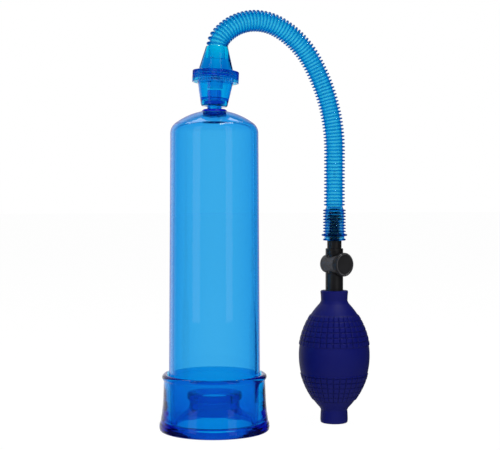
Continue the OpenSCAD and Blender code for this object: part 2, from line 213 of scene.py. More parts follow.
def turned(name, outline, material, place=upright, sides=96, closed=True, shape=None, sharp=40):
    """Turns an outline about the vertical axis. A closed outline makes a ring or a shell, and an
    open one starts and ends on the axis. shape(r, z, angle) may change the radius."""
    points, faces, rows = [], [], []
    for r, z in outline:
        if r < 1e-6:
            rows.append([len(points)])
            points.append(place(0, 0, z))
            continue
        row = []
        for k in range(sides):
            a = 2 * math.pi * k / sides
            radius = shape(r, z, a) if shape else r
            row.append(len(points))
            points.append(place(radius * math.cos(a), radius * math.sin(a), z))
        rows.append(row)
    pairs = list(zip(rows, rows[1:])) + ([(rows[-1], rows[0])] if closed else [])
    for low, high in pairs:
        for k in range(sides):
            n = (k + 1) % sides
            if len(low) == 1 and len(high) == 1:
                break
            if len(low) == 1:
                faces.append((low[0], high[n], high[k]))
            elif len(high) == 1:
                faces.append((low[k], low[n], high[0]))
            else:
                faces.append((low[k], low[n], high[n], high[k]))
    return new_object(name, points, faces, material, sharp)


# ---------- materials ----------

class Nodes:
    """A short way to build a node tree."""

    def __init__(self, name):
        self.material = bpy.data.materials.new(name)
        self.material.use_nodes = True
        self.tree = self.material.node_tree
        self.tree.nodes.clear()
        self.output = self.tree.nodes.new("ShaderNodeOutputMaterial")

    def add(self, kind, **inputs):
        node = self.tree.nodes.new("ShaderNode" + kind)
        for key, value in inputs.items():
            socket = node.inputs[key.replace("_", " ")]
            if isinstance(value, bpy.types.NodeSocket):
                self.tree.links.new(value, socket)
            else:
                socket.default_value = value
        return node

    def link(self, source, target):
        self.tree.links.new(source, target)

    def place(self):
        """The place on the piece, in millimetres."""
        node = self.add("NewGeometry")
        scale = self.add("VectorMath")
        scale.operation = "SCALE"
        self.link(node.outputs["Position"], scale.inputs[0])
        scale.inputs["Scale"].default_value = 1 / MM
        return scale.outputs[0]

    def noise(self, scale, detail=3.0, vector=None):
        return self.add("TexNoise", Vector=vector or self.place(), Scale=scale, Detail=detail)

    def ramp(self, factor, stops):
        node = self.add("ValToRGB", Fac=factor)
        elements = node.color_ramp.elements
        elements[0].position, elements[0].color = stops[0][0], (*stops[0][1], 1)
        elements[1].position, elements[1].color = stops[-1][0], (*stops[-1][1], 1)
        for position, colour in stops[1:-1]:
            elements.new(position).color = (*colour, 1)
        return node.outputs["Color"]

    def bump(self, height, strength, distance):
        node = self.add("Bump", Height=height, Strength=strength, Distance=distance * MM)
        return node.outputs["Normal"]


def linear(red, green, blue):
    """An sRGB colour from 0 to 255, as linear light."""
    def channel(v):
        v /= 255
        return v / 12.92 if v <= 0.04045 else ((v + 0.055) / 1.055) ** 2.4
    return channel(red), channel(green), channel(blue)


def clear_plastic(name, absorb, roughness=0.0, haze=0.0, haze_colour=(0, 0, 0), ior=1.49,
                  ripple=0.0, ripple_scale=0.05, crest=None, painted_edge_shade=None):
    """Tinted clear plastic. absorb is the light lost per millimetre in red, green and blue, so
    that thick places come out deeper. haze is the milky share of a soft plastic. crest is the
    surface tint at points marked 1, and the edge tint is painted shade where the surface turns away."""
    n = Nodes(name)
    wave = n.noise(ripple_scale, 2.0)
    fine = n.noise(0.9, 2.0)
    rough = n.add("MapRange", Value=fine.outputs["Fac"])
    rough.inputs["To Min"].default_value = roughness * 0.6
    rough.inputs["To Max"].default_value = roughness * 1.4 + 0.004
    glass = n.add("BsdfGlass", IOR=ior, Roughness=rough.outputs["Result"], Color=(1, 1, 1, 1))
    if ripple:
        n.link(n.bump(wave.outputs["Fac"], 1.0, ripple), glass.inputs["Normal"])
    if crest:
        marks = n.add("Attribute")
        marks.attribute_name = "mark"
        n.link(n.ramp(marks.outputs["Fac"], [(0.3, (1, 1, 1)), (0.9, crest)]), glass.inputs["Color"])
    # Painted shade: the tint darkens the plastic where its surface turns away from view.
    if painted_edge_shade:
        turn = n.add("LayerWeight", Blend=0.5)
        n.link(n.ramp(turn.outputs["Facing"], [(0.72, (1, 1, 1)), (0.97, painted_edge_shade)]),
               glass.inputs["Color"])
    surface = glass.outputs[0]
    if haze:
        milk = n.add("BsdfDiffuse", Color=(*haze_colour, 1))
        mixed = n.add("MixShader", Fac=haze)
        n.link(surface, mixed.inputs[1])
        n.link(milk.outputs[0], mixed.inputs[2])
        surface = mixed.outputs[0]
    n.link(surface, n.output.inputs["Surface"])
    most = max(absorb)
    inside = n.add("VolumeAbsorption", Color=(*[1 - a / most for a in absorb], 1),
                   Density=most / MM)
    n.link(inside.outputs[0], n.output.inputs["Volume"])
    return n.material


def moulded(name, colours, roughness, grain=0.0, grain_scale=6.0, mottle_scale=0.08, gloss=0.5,
            coat=0.0, painted_groove_shade=False):
    """Opaque moulded plastic or rubber: a slow drift of colour and a fine grain. The groove option
    darkens the points marked 1 with painted shade, as shade lying in grooves."""
    n = Nodes(name)
    drift = n.noise(mottle_scale, 3.0)
    colour = n.ramp(drift.outputs["Fac"], [(0.35, colours[0]), (0.65, colours[1])])
    fine = n.noise(grain_scale, 4.0)
    rough = n.add("MapRange", Value=fine.outputs["Fac"])
    rough.inputs["To Min"].default_value = roughness - 0.08
    rough.inputs["To Max"].default_value = roughness + 0.08
    # Painted shade: points marked 1 are darkened as if shade lay in them.
    if painted_groove_shade:
        marks = n.add("Attribute")
        marks.attribute_name = "mark"
        shade = n.ramp(marks.outputs["Fac"], [(0.0, (1, 1, 1)), (1.0, (0.55, 0.55, 0.55))])
        darker = n.add("MixRGB", Fac=1.0, Color1=colour, Color2=shade)
        darker.blend_type = "MULTIPLY"
        colour = darker.outputs[0]
    skin = n.add("BsdfPrincipled", Base_Color=colour, Roughness=rough.outputs["Result"])
    skin.inputs["Specular IOR Level"].default_value = gloss
    skin.inputs["Coat Weight"].default_value = coat
    if grain:
        n.link(n.bump(fine.outputs["Fac"], 0.6, grain), skin.inputs["Normal"])
    n.link(skin.outputs[0], n.output.inputs["Surface"])
    return n.material


def spring_steel(name):
    """Drawn steel wire, with fine marks round it."""
    n = Nodes(name)
    marks = n.noise(14.0, 5.0)
    colour = n.ramp(marks.outputs["Fac"], [(0.3, (0.42, 0.42, 0.44)), (0.7, (0.62, 0.62, 0.64))])
    rough = n.add("MapRange", Value=marks.outputs["Fac"])
    rough.inputs["To Min"].default_value = 0.22
    rough.inputs["To Max"].default_value = 0.42
    metal = n.add("BsdfPrincipled", Base_Color=colour, Roughness=rough.outputs["Result"],
                  Metallic=1.0)
    n.link(metal.outputs[0], n.output.inputs["Surface"])
    return n.material


# The tube's edge tint is painted shade along its outlines.
TUBE = clear_plastic("clear_blue_acrylic", (0.62, 0.17, 0.034), roughness=0.01, ripple=0.02,
                     painted_edge_shade=(0.3, 0.3, 0.55))
SLEEVE = clear_plastic("clear_blue_soft", (1.1, 0.104, 0.022), roughness=0.01, haze=0.025,
                       haze_colour=linear(60, 30, 200), ior=1.33, ripple=0.12)
COUPLING = clear_plastic("clear_blue_coupling", (1.1, 0.165, 0.035), roughness=0.02, haze=0.01,
                         haze_colour=linear(20, 60, 220), ior=1.4, ripple=0.03,
                         ripple_scale=0.2)
CONE = clear_plastic("clear_blue_cone", (1.1, 0.085, 0.026), roughness=0.02, haze=0.01,
                     haze_colour=linear(20, 60, 220), ior=1.33, ripple=0.03, ripple_scale=0.2)
HOSE = clear_plastic("clear_blue_hose", (0.75, 0.13, 0.045), roughness=0.01, haze=0.01,
                     haze_colour=linear(20, 140, 220), ior=1.22, crest=(0.32, 0.66, 0.86))
CUFF = clear_plastic("clear_blue_cuff", (1.1, 0.24, 0.07), roughness=0.01, haze=0.01,
                     haze_colour=linear(20, 90, 190), ior=1.42, crest=(0.25, 0.5, 0.78))
GASKET = moulded("deep_blue_gasket", [linear(0, 16, 172), linear(0, 32, 198)], 0.3, 0.01, 4.0,
                 coat=0.3)
# Painted light: a lighter copy of the gasket blue, making up for lamp light that the clear coupling
# keeps off the seals inside it.
SEAL_BLUE_PAINTED_LIGHT = moulded("blue_seal_painted_light", [linear(0, 50, 228), linear(6, 64, 248)], 0.3, 0.01, 4.0, coat=0.3)
BLACK = moulded("black_moulded", [linear(15, 15, 17), linear(22, 22, 24)], 0.36, 0.02, 5.0)
# Painted light: grey standing for black plastic lit from the upper left; on the button's bead it is
# a painted highlight.
BLACK_WITH_PAINTED_LIGHT = moulded("black_with_painted_light", [linear(64, 64, 67), linear(78, 78, 82)], 0.45, 0.02, 5.0)
BUTTON = moulded("black_button", [linear(26, 26, 27), linear(33, 33, 35)], 0.34, 0.025, 4.0)
RUBBER = moulded("black_seal_rubber", [linear(24, 24, 26), linear(34, 34, 36)], 0.6, 0.01, 7.0)
# The grooves of the bulb's grid get painted shade.
NAVY = moulded("navy_rubber", [linear(0, 7, 90), linear(8, 14, 90)], 0.55, 0.015, 5.0,
               mottle_scale=0.03, gloss=0.2, painted_groove_shade=True)
STEEL = spring_steel("spring_steel_wire")


# ---------- sleeve and cylinder ----------

def make_sleeve():
    """Soft moulding: foot, wall, rolled bead, ledge and inner tunnel."""
    bore_r = TUBE_R + 0.05
    hollow_r = FOOT_R - 8.5
    bead, bead_r = (FOOT_R - 4.3, 38.0), 2.3
    tunnel_r, rim_r, shelf_r = 12, 19.7, 18
    tunnel_top_z = 27.3
    outline = fillet([
        (hollow_r, 0, 0.8), (FOOT_R - 0.3, 0, 2.6), (FOOT_R + 0.05, 2.8, 2.5),
        (FOOT_R - 0.2, 5.0, 1.6), (FOOT_R - 0.9, 6.3, 1.2), (FOOT_R - 1.2, 9, 2),
        (FOOT_R - 1.9, 13, 6), (FOOT_R - 2.6, 20, 8),
        (FOOT_R - 2.9, 28, 4), (FOOT_R - 3.1, 35.2, 1.2)], closed=False, steps=6)
    outline += [Vector(p) for p in arc(bead, bead_r, -50, 175, 18)]
    outline += fillet([
        (bore_r, 36.8), (bore_r, LEDGE_Z + 0.02, 0.4), (29.3, LEDGE_Z + 0.02, 1.6),
        (25.8, 8.4, 6), (21.0, 11.6, 5), (18.2, 15.5, 3), (shelf_r, 20.4, 1.2),
        (rim_r, 21.6, 2.4), (rim_r, tunnel_top_z, 2.7), (tunnel_r, tunnel_top_z, 2.7),
        (tunnel_r, 22, 2), (tunnel_r, 14, 3), (shelf_r, 9.4, 3), (26.0, 4.6, 2),
        (28.2, 2.4, 2), (hollow_r, 0)], closed=False, steps=6)

    def soft(r, z, a):
        """The rubber wall isn't perfectly round."""
        if r < bore_r + 1.5:
            return r
        here = Vector((math.cos(a) * 1.3, math.sin(a) * 1.3, z * 0.06))
        return r + 0.16 * noise.noise(here)

    piece = turned("entry_sleeve_skin", outline, SLEEVE, sides=160, shape=soft, sharp=70)
    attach(piece, "sleeve")
    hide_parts("entry_sleeve")


def dome(inset, shoulder, knuckle, crown, end_r):
    """The domed end's outline, drawn in from the outside by inset."""
    tilt = math.degrees(math.acos((TUBE_TOP_R - knuckle) / (crown - knuckle)))
    crown_z = shoulder - (crown - knuckle) * math.sin(math.radians(tilt))
    last = math.degrees(math.acos(end_r / (crown - inset)))
    return (arc((TUBE_TOP_R - knuckle, shoulder), knuckle - inset, 0, tilt, 24)
            + arc((0, crown_z), crown - inset, tilt, last, 28)[1:])


def make_cylinder():
    """Clear tube with a domed end and a hole for the nozzle."""
    shoulder, knuckle, crown = 211.3, 9.0, 46.0
    land_r = GASKET_R + 0.1
    outer = dome(0, shoulder, knuckle, crown, land_r)
    inner = dome(TUBE_WALL, shoulder, knuckle, crown, NOZZLE_HOLE_R)
    taper_z = 41.0
    rows = 24
    climb = [(TUBE_R, LEDGE_Z + 1), (TUBE_R, LEDGE_Z + 18), (TUBE_R, taper_z)]
    for k in range(1, rows):
        t = k / rows
        climb.append((TUBE_R + (TUBE_TOP_R - TUBE_R) * t, taper_z + (shoulder - taper_z) * t))
    fall = [(r - TUBE_WALL, z) for r, z in reversed(climb)]
    land_z = gasket_low.z
    land = [Vector((land_r, land_z)), Vector((NOZZLE_HOLE_R, land_z))]
    outline = ([Vector(p) for p in climb + outer] + land
               + [Vector(p) for p in list(reversed(inner)) + fall]
               + fillet([(TUBE_R - TUBE_WALL, LEDGE_Z + 0.9),
                         (TUBE_R - TUBE_WALL, LEDGE_Z, 0.6), (TUBE_R, LEDGE_Z, 0.6),
                         (TUBE_R, LEDGE_Z + 0.9)], closed=False, steps=4))
    piece = turned("domed_cylinder", outline, TUBE, sides=192, sharp=50)
    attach(piece, "cylinder")
    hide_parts("cylinder_tube")


def make_nozzle():
    """Gasket on the dome and the stub that the coupling pushes on to."""
    low = gasket_low.z
    bore_r, root_r = 2.2, 4.08
    outline = fillet([(NOZZLE_HOLE_R, low), (GASKET_R - 0.4, low, 0.4), (GASKET_R, low + 1.2, 0.8),
                      (GASKET_R - 0.1, GASKET_Z - 0.9, 0.8), (GASKET_R - 1.2, GASKET_Z, 0.5),
                      (NOZZLE_HOLE_R, GASKET_Z)], closed=True)
    gasket = turned("dome_gasket", outline, GASKET, sides=96)
    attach(gasket, "cylinder")
    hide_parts("nozzle_gasket")
    stem_r = (nozzle_high.x - nozzle_low.x) / 2
    root_z = nozzle_low.z + 0.02
    outline = fillet([(bore_r, root_z), (root_r, root_z), (root_r, GASKET_Z + 0.05),
                      (stem_r, GASKET_Z + 0.05, 0.3), (stem_r, NOZZLE_TIP_Z, 0.9),
                      (bore_r, NOZZLE_TIP_Z, 0.4)], closed=True)
    stem = turned("nozzle_stub", outline, COUPLING, sides=64)
    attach(stem, "cylinder")
    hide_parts("nozzle")


# ---------- coupling ----------

def make_socket():
    """Hollow cup that holds the seal and carries the collar's thread."""
    cup_low = SEAL_Z - 2.9
    neck_top = COLLAR_Z + 4.35
    bore_r = 5.65
    groove_r, groove_half = 7.9, 1.8
    outline = fillet([
        (bore_r, cup_low, 0.4), (9.1, cup_low, 0.8), (9.5, cup_low + 1, 0.6),
        (12.4, COLLAR_Z - 0.8, 0.6), (THREAD_R, COLLAR_Z, 0.3), (THREAD_R, neck_top, 0.4),
        (10.6, neck_top, 0.4), (7.6, SEAL_Z + 3.2, 0.6), (bore_r, SEAL_Z + 3.2, 0.3),
        (bore_r, SEAL_Z + groove_half, 0.2), (groove_r, SEAL_Z + groove_half, 0.2),
        (groove_r, SEAL_Z - groove_half, 0.2), (bore_r, SEAL_Z - groove_half, 0.2)],
        closed=True, steps=4)
    piece = turned("coupling_socket_cup", outline, COUPLING, on_coupling, sides=96)
    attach(piece, "coupling")
    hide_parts("coupling_socket")


def make_collar():
    """Grip ring with fine upright ribs round it."""
    ribs = 60
    top = COLLAR_Z + COLLAR_H
    skirt = COLLAR_Z + 2.8
    inner_r, mouth_r, grip_r = THREAD_R + 0.11, 12.2, 16.35
    outline = fillet([
        (inner_r, skirt, 0.3), (15.2, skirt, 0.5), (15.4, COLLAR_Z, 0.3), (grip_r, COLLAR_Z, 0.3),
        (grip_r, COLLAR_Z + 4), (grip_r, top, 0.6), (mouth_r, top + 1.1, 0.4),
        (mouth_r, top - 2, 0.2), (inner_r, top - 2, 0.2)], closed=True, steps=4)

    def ribbed(r, z, a):
        on_grip = r > grip_r - 0.75
        return r + (0.16 * math.cos(ribs * a) if on_grip else 0)

    piece = turned("grip_collar", outline, COUPLING, on_coupling, sides=ribs * 6, shape=ribbed)
    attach(piece, "collar")
    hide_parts("coupling_collar")


def make_cone():
    """Cone that takes the hose, with a flange under the collar and a tube into the socket."""
    low = COLLAR_Z - 4
    flange = COLLAR_Z + 5.2
    lip = COLLAR_Z + 6.15
    foot = COLLAR_Z + COLLAR_H + 1.6
    bore_r, spigot_r, foot_r = 3.5, 5.4, 12.1
    hose_r = HOSE_CORE_R + 0.08
    hose_stop = NOSE_TOP_Z - HOSE_SEAT
    ridges = 6
    outline = fillet([
        (bore_r, low, 0.4), (spigot_r, low, 0.4), (spigot_r, flange, 0.2), (THREAD_R, flange, 0.3),
        (THREAD_R, lip, 0.3), (foot_r, lip, 0.2), (foot_r, foot, 1.2),
        (7.75, NOSE_TOP_Z, 0.6), (hose_r, NOSE_TOP_Z, 0.4), (hose_r, hose_stop, 0.2),
        (bore_r, hose_stop, 0.3)], closed=True, steps=4)

    def ridged(r, z, a):
        """Fine ridges run up the cone."""
        on_cone = foot - 0.1 <= z <= NOSE_TOP_Z - 0.3 and r >= hose_r + 0.42
        return r + (0.25 * max(0, math.cos(ridges * a)) ** 14 if on_cone else 0)

    piece = turned("hose_cone", outline, CONE, on_coupling, sides=180, shape=ridged)
    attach(piece, "coupling")
    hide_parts("hose_nose")


# ---------- hose ----------

def hose_path():
    """Bends of the hose as (start x, start z, radius, first heading, last heading). A heading is
    the lean from +Z towards +X, in radians."""
    x = (NOSE_TOP_Z - SEAL_Z) * math.sin(LEAN)
    z = SEAL_Z + (NOSE_TOP_Z - SEAL_Z) * math.cos(LEAN)
    bends = []
    turns = [(12, 3, 39), (34, 39, 80), (36.8, 80, 118), (63, 118, 149), (None, 149, 180)]
    for radius, first, last in turns:
        h0, h1 = math.radians(first), math.radians(last)
        if radius is None:
            radius = (REACH - x) / (math.cos(h0) - math.cos(h1))
        bends.append((x, z, radius, h0, h1))
        x += radius * (math.cos(h0) - math.cos(h1))
        z += radius * (math.sin(h1) - math.sin(h0))
    return bends, z


HOSE_BENDS, HOSE_DROP_Z = hose_path()
HOSE_ARCH = sum(b[2] * (b[4] - b[3]) for b in HOSE_BENDS)
HOSE_LENGTH = HOSE_ARCH + HOSE_DROP_Z - CUFF_TOP_Z


def hose_at(s):
    """(x, z, heading) at distance s along the hose from the cone's top."""
    x, z, _, heading, _ = HOSE_BENDS[0]
    if s < 0:
        return x + s * math.sin(heading), z + s * math.cos(heading), heading
    for x, z, radius, h0, h1 in HOSE_BENDS:
        length = radius * (h1 - h0)
        if s <= length:
            h = h0 + s / radius
            return (x + radius * (math.cos(h0) - math.cos(h)),
                    z + radius * (math.sin(h) - math.sin(h0)), h)
        s -= length
    return REACH, HOSE_DROP_Z - s, math.pi


def make_hose():
    """One ribbed pipe from the cone to the cuff. Its ribs have rounded tips."""
    sides = 40
    per_rib = 10
    ribs = round(HOSE_LENGTH / RIB_PITCH)
    plain = HOSE_SEAT - 0.2
    rings = [(-plain, HOSE_CORE_R), (-0.3, HOSE_CORE_R)]
    for k in range(ribs * per_rib + 1):
        wave = 0.5 - 0.5 * math.cos(2 * math.pi * k / per_rib)
        crest = min(max((wave - 0.12) / 0.76, 0), 1)
        crest = crest * crest * (3 - 2 * crest)
        radius = HOSE_CORE_R + (HOSE_RIB_R - HOSE_CORE_R) * crest
        rings.append((HOSE_LENGTH * k / (ribs * per_rib), radius))
    bore_steps = ribs * 4
    for k in range(bore_steps, -1, -1):
        swell = 0.25 * (0.5 - 0.5 * math.cos(math.pi * k / 2))
        rings.append((-plain + (HOSE_LENGTH + plain) * k / bore_steps, HOSE_BORE_R + swell))
    points, faces = [], []
    for s, radius in rings:
        x, z, h = hose_at(s)
        for k in range(sides):
            a = 2 * math.pi * k / sides
            across = radius * math.cos(a)
            points.append((x + across * math.cos(h), radius * math.sin(a),
                           z - across * math.sin(h)))
    count = len(rings)
    for i in range(count):
        j = (i + 1) % count
        for k in range(sides):
            n = (k + 1) % sides
            faces.append((i * sides + k, i * sides + n, j * sides + n, j * sides + k))
    piece = new_object("ribbed_hose", points, faces, HOSE, sharp=80)
    height = HOSE_RIB_R - HOSE_CORE_R
    mark(piece, [max(radius - HOSE_CORE_R, 0) / height for _, radius in rings for _ in range(sides)])
    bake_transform(piece)
    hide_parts("hose_upper", "hose_lower")


def make_cuff():
    """Thicker moulded end of the hose, with two flanges and tight ribs."""
    rim_r, root_r, bore_r = 8.4, 7.0, 6.35
    flange_r, neck_r = 9.4, 7.4
    rib_pitch = 2.2
    shoulder_r = 6.6
    top = CUFF_TOP_Z - 0.02
    outline = [(bore_r, CUFF_Z, 0.3), (rim_r - 0.2, CUFF_Z, 0.4), (rim_r, CUFF_Z + 1.1, 0.4),
               (neck_r, CUFF_Z + 1.5, 0.3), (neck_r, CUFF_Z + 3, 0.3), (flange_r, CUFF_Z + 3.5, 0.4),
               (flange_r, CUFF_Z + 4.5, 0.4), (neck_r - 0.1, CUFF_Z + 5.2, 0.3)]
    z = CUFF_Z + 6.2
    while z < CUFF_TOP_Z - 3:
        outline += [(root_r, z - 0.3, 0.3), (rim_r, z + 0.2, 0.3), (rim_r, z + 0.8, 0.3),
                    (root_r, z + 1.3, 0.3)]
        z += rib_pitch
    outline += [(shoulder_r, CUFF_TOP_Z - 1.6, 0.5), (HOSE_CORE_R + 0.05, top),
                (HOSE_BORE_R + 0.1, top), (bore_r, CUFF_Z + 19, 1)]
    piece = turned("hose_cuff_end", fillet(outline, closed=True, steps=3), CUFF, on_bulb, sides=80,
                   sharp=80)
    reaches = [math.hypot(v.co.x / MM - REACH, v.co.y / MM) for v in piece.data.vertices]
    mark(piece, [min(max(r - shoulder_r, 0) / (rim_r - shoulder_r), 1) for r in reaches])
    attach(piece, "hose_end")
    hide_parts("hose_cuff")


# ---------- valve ----------

def make_upright():
    """Valve upright, waisted where the barrel crosses it, with its barb in the hose cuff."""
    low, top = 84.1, CUFF_Z - 5.8
    upright_r, waist_r, neck_r, waist_half = 6.5, 4.6, 5.3, 6.5
    barb_r, root_r = 6.25, 3.6
    bore_r = 2
    waist_low, waist_high = BARREL_Z - waist_half, BARREL_Z + waist_half
    outline = fillet([
        (0, low), (5.9, low, 0.6), (upright_r, low + 1.2, 0.4), (upright_r, waist_low, 0.2),
        (waist_r, waist_low), (waist_r, waist_high), (upright_r, waist_high, 0.2),
        (upright_r, top, 0.6), (neck_r, top, 0.3),
        (neck_r, CUFF_Z - 0.1, 0.2), (root_r, CUFF_Z - 0.1, 0.2), (root_r, CUFF_Z + 2, 0.2),
        (barb_r, CUFF_Z + 2.5, 0.2), (barb_r, CUFF_Z + 3.6, 0.4), (root_r, CUFF_Z + 7.5, 0.4),
        (root_r, CUFF_Z + 13.5, 0.2), (barb_r, CUFF_Z + 14, 0.2), (barb_r, CUFF_Z + 15.1, 0.4),
        (4.3, CUFF_Z + 20, 0.6), (4.2, CUFF_Z + 21.8, 0.5), (bore_r, CUFF_Z + 21.8, 0.3),
        (bore_r, CUFF_Z + 12), (0, CUFF_Z + 11)], closed=False, steps=4)
    stem = turned("valve_upright", outline, BLACK, on_bulb, sides=72, closed=False)
    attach(stem, "valve")
    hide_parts("valve_body")


def make_barrel():
    """Grooved cross barrel and the rounded plug at its back, grey with painted light, and a rim
    round its front left black as painted shade where the button's side lies in shadow.
    """
    front, rim_z, rim_bore_r = 5.8, 8.2, 4
    rim_r = BARREL_R - 0.15
    grooves, groove_pitch, groove_depth = 6, 1.9, 0.3
    rings = []
    for k in range(grooves):
        low = groove_pitch * k - 5.6
        rings += [(BARREL_R, low, 0.1), (BARREL_R - groove_depth, low + 0.3, 0.1),
                  (BARREL_R, low + 0.6, 0.1)]
    outline = fillet([
        (0, -7.6), (BARREL_R - 0.5, -7.9, 0.3), (BARREL_R, -7.4, 0.3), *rings,
        (BARREL_R, front), (0, front)], closed=False, steps=4)
    barrel = turned("valve_crossbarrel", outline, BLACK_WITH_PAINTED_LIGHT, on_barrel, sides=72, closed=False)
    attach(barrel, "valve")
    # Painted shade: the barrel's front is left black, standing for the button's side in shadow.
    outline = fillet([
        (rim_bore_r, front), (rim_r, front), (rim_r, rim_z, 0.4), (rim_bore_r, rim_z + 0.2, 0.4)],
        closed=True, steps=4)
    rim = turned("valve_front_rim_painted_shade", outline, BLACK, on_barrel, sides=72)
    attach(rim, "valve")
    # The plug is grey with the same painted light as the barrel.
    outline = fillet([
        (0, -9.8), (5, -9.7, 1.8), (6.85, -8.1, 0.5), (6.4, -7.95, 0.2), (0, -7.95)],
        closed=False, steps=6)
    plug = turned("valve_end_plug", outline, BLACK_WITH_PAINTED_LIGHT, on_barrel, sides=72, closed=False)
    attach(plug, "valve")
    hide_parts("valve_end_cap")


def make_button():
    """Round release button: a finely notched rim, a sunk face, a bead round it that is grey as a
    painted highlight, and a small pip.
    """
    rim_r, face_r, hollow_r, boss_r = 8.7, 6.9, 7.15, 2.4
    front, face, under, boss_end = 12, 11.66, 10.6, 9.5
    notches = 48
    outline = fillet([
        (0, face), (face_r, face, 0.2), (7.2, front, 0.25), (8.1, front, 0.4), (rim_r, 11.2, 0.5),
        (rim_r, 8.7, 0.4), (hollow_r, 8.65, 0.3), (hollow_r, under, 0.3), (boss_r, under),
        (boss_r, boss_end, 0.2), (0, boss_end)], closed=False, steps=4)

    def notched(r, z, a):
        on_rim = r > rim_r - 0.4 and z < front - 0.6
        return r - (0.1 * (0.5 + 0.5 * math.cos(notches * a)) if on_rim else 0)

    cap = turned("release_knob", outline, BUTTON, on_barrel, sides=notches * 4, closed=False,
                 shape=notched)
    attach(cap, "release_button")
    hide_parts("release_button")

    # Painted highlight: the grey bead round the face stands for a light line along the button's rim.
    bead_low, bead_high = front - 0.1, front + 0.1
    outline = fillet([(7.3, bead_low), (7.45, bead_high, 0.1), (7.8, bead_high, 0.1),
                      (7.95, bead_low)], closed=True, steps=3)
    bead = turned("release_knob_painted_highlight", outline, BLACK_WITH_PAINTED_LIGHT, on_barrel, sides=96)
    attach(bead, "release_button")

    def beside(x, y, z):
        """Turns a shape outwards on the side of the button."""
        return on_barrel(rim_r - 0.3 + z, y, front - 1.6 + x)

    outline = fillet([(0, -0.4), (1.1, -0.4), (1.0, 0.3, 0.2), (0.3, 0.9, 0.2), (0, 0.95)],
                     closed=False)
    pip = turned("release_knob_pip", outline, BUTTON, beside, sides=24, closed=False)
    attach(pip, "release_button")


def make_spring():
    """Coil return spring behind the button."""
    wire_r, coil_r, turns, steps, sides = 0.3, 3.2, 5, 28, 10
    low, high, seat = 4.6, 10.2, 4.25
    points, faces = [], []
    count = turns * steps
    for i in range(count + 1):
        a = 2 * math.pi * i / steps
        z = low + (high - low) * i / count
        for k in range(sides):
            b = 2 * math.pi * k / sides
            r = coil_r + wire_r * math.cos(b)
            points.append(on_barrel(r * math.cos(a), r * math.sin(a), z + wire_r * math.sin(b)))
    for i in range(count):
        for k in range(sides):
            n = (k + 1) % sides
            faces.append((i * sides + k, (i + 1) * sides + k, (i + 1) * sides + n, i * sides + n))
    faces.append(tuple(range(sides)))
    faces.append(tuple(count * sides + k for k in reversed(range(sides))))
    piece = new_object("return_spring", points, faces, STEEL)
    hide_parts("button_spring")
    fixed = on_barrel(0, 0, seat)
    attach(piece, "valve")
    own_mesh(piece)


# ---------- bulb ----------

def band(z, low, high, soft):
    """1 between two heights, fading to 0 over soft outside them."""
    def step(x):
        x = min(max(x, 0), 1)
        return x * x * (3 - 2 * x)
    return step((z - low) / soft + 1) * step((high - z) / soft + 1)


def grid_band(z):
    """1 inside the two bands of grid, and 0 away from them."""
    return band(z, *UPPER_GRID, 0.5) + band(z, *LOWER_GRID, 0.5)


def grid_relief(z, a):
    """Height of the moulded grid on the bulb: raised cells parted by narrow grooves."""
    columns, row_h, steep = 32, 3.7, 2.6
    in_band = grid_band(z)
    if in_band < 0.01:
        return 0
    first_z = UPPER_GRID[1] if z > BELLY_Z else LOWER_GRID[0]
    across = abs(math.sin(columns * a / 2))
    along = abs(math.sin(math.pi * (z - first_z) / row_h))
    cell = min(1, across * steep) * min(1, along * steep)
    return in_band * (GRID_H - CELL_H + CELL_H * cell)


def make_bulb():
    """Rubber squeeze bulb with two necks and two bands of moulded grid."""
    offset = BULB_R - BELLY_R
    wall = 2.6
    foot_bore_r, neck_bore_r, pinch_r = 7.5, 6.55, 9.75
    skin_low, skin_high, skin_rows = 10.6, 88.6, 230
    hollow_low, hollow_high, hollow_rows = 12, 84, 40

    def side(radius, z):
        """Reach of the bulb's side at a height, for an arc of a radius."""
        return offset + math.sqrt(radius ** 2 - (z - BELLY_Z) ** 2)

    outer = []
    for k in range(skin_rows + 1):
        z = skin_low + (skin_high - skin_low) * k / skin_rows
        outer.append(Vector((side(BELLY_R, z), z)))
    inner = []
    for k in range(hollow_rows + 1):
        z = hollow_high + (hollow_low - hollow_high) * k / hollow_rows
        inner.append(Vector((side(BELLY_R - wall, z), z)))
    foot = fillet([(foot_bore_r, 0, 0.4), (9.9, 0, 1), (10.15, 2.4, 1), (10.0, 6.5, 2),
                   (pinch_r, 9.6, 0.6), outer[1]], closed=False)
    neck = fillet([outer[-2], (pinch_r, 89.8, 1.2), (9.9, 93.5, 2), (10.2, BULB_H - 0.9, 0.5),
                   (9.8, BULB_H, 0.5), (neck_bore_r, BULB_H, 0.3),
                   (neck_bore_r, hollow_high + 0.02), inner[0]], closed=False)
    outline = (foot[:-1] + outer[2:-2] + neck[1:-1] + inner
               + [Vector((foot_bore_r, hollow_low - 0.02))])

    def moulded_grid(r, z, a):
        """Only the outer skin, which lies on the side's arc, takes the grid."""
        on_skin = r > 10 and z > 10 and abs(r - side(BELLY_R, z)) < 0.01
        return r + (grid_relief(z, a) - 0.5 if on_skin else 0)

    piece = turned("squeeze_bulb", outline, NAVY, on_bulb, sides=384, shape=moulded_grid, sharp=80)
    # Marks for painted shade in the grid's grooves: grooves are marked high and cells low.
    marks = []
    for vertex in piece.data.vertices:
        x, y, z = vertex.co / MM
        relief = grid_relief(z, math.atan2(y, x - REACH))
        marks.append(0.95 * (grid_band(z) - relief / GRID_H))
    mark(piece, marks)
    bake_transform(piece)
    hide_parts("bulb", "bulb_press_wall")


# ---------- CAD nodes that stay ----------

